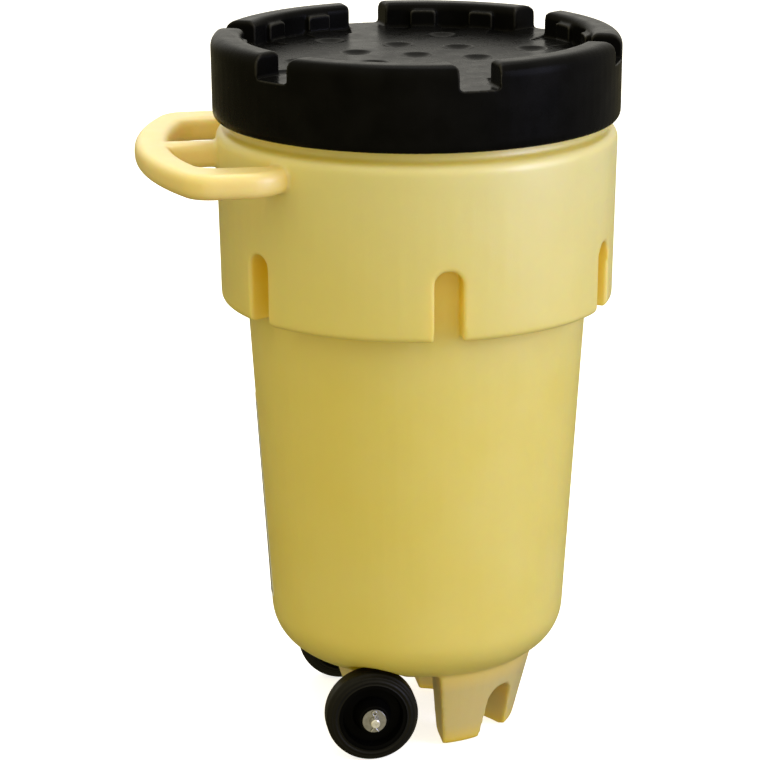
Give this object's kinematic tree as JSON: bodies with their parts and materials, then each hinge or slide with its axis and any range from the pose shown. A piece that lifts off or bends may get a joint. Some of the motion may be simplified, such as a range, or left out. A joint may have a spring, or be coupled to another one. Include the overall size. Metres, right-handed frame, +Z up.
{
  "type": "wheeled overpack salvage drum",
  "caption": "Wheeled overpack salvage drum with a screw-on lid, a carry handle behind, moulded feet in front and a pair of wheels on a through axle.",
  "frame": {"origin": "centre of the overall bounding box's bottom face, on the floor; the drum's axis stands 57.5 mm along +X from it", "axes": "+Z up along the drum; -X towards the carry handle and the wheels, +X towards the middle foot; Y along the wheel axle"},
  "size_m": [0.7249, 0.61, 1.078],
  "materials": {
    "drum_polyethylene": "satin, slightly translucent moulded skin",
    "lid_polyethylene": "satin moulded black",
    "gasket_rubber": "matte black foam rubber",
    "axle_steel": "zinc plated",
    "washer_steel": "zinc plated",
    "pin_steel": "zinc plated wire",
    "tyre_rubber": "black solid rubber",
    "wheel_plastic": "satin moulded black",
    "bush_nylon": "off-white nylon",
    "label_vinyl": "blank white vinyl with a plain dark border"
  },
  "bodies": {
    "drum": {"drum_body": "drum_polyethylene", "axle": "axle_steel", "label": "label_vinyl", "inner_washer_left": "washer_steel", "outer_washer_left": "washer_steel", "split_pin_left": "pin_steel", "inner_washer_right": "washer_steel", "outer_washer_right": "washer_steel", "split_pin_right": "pin_steel"},
    "gasket_carrier": {"lid_gasket": "gasket_rubber"},
    "lid_cap": {"lid": "lid_polyethylene"},
    "left_wheel_set": {"tyre_left": "tyre_rubber", "wheel_left": "wheel_plastic", "hub_bush_left": "bush_nylon"},
    "right_wheel_set": {"tyre_right": "tyre_rubber", "wheel_right": "wheel_plastic", "hub_bush_right": "bush_nylon"}
  },
  "joints": [
    {"name": "lid_lift", "type": "slide", "parent": "drum", "child": "gasket_carrier", "axis": [0, 0, 1], "range_m": [0, 0.0965]},
    {"name": "lid_turn", "type": "hinge", "parent": "gasket_carrier", "child": "lid_cap", "pos_m": [0.0575, 0, 1], "axis": [0, 0, 1], "range_deg": [0, 1440]},
    {"name": "left_wheel_spin", "type": "hinge", "parent": "drum", "child": "left_wheel_set", "pos_m": [-0.0395, 0.17, 0.07], "axis": [0, 1, 0], "continuous": true},
    {"name": "right_wheel_spin", "type": "hinge", "parent": "drum", "child": "right_wheel_set", "pos_m": [-0.0395, -0.17, 0.07], "axis": [0, 1, 0], "continuous": true}
  ],
  "couplings": [
    {"joint": "lid_lift", "follows": "lid_turn", "m_per_rad": 0.0038197}
  ]
}
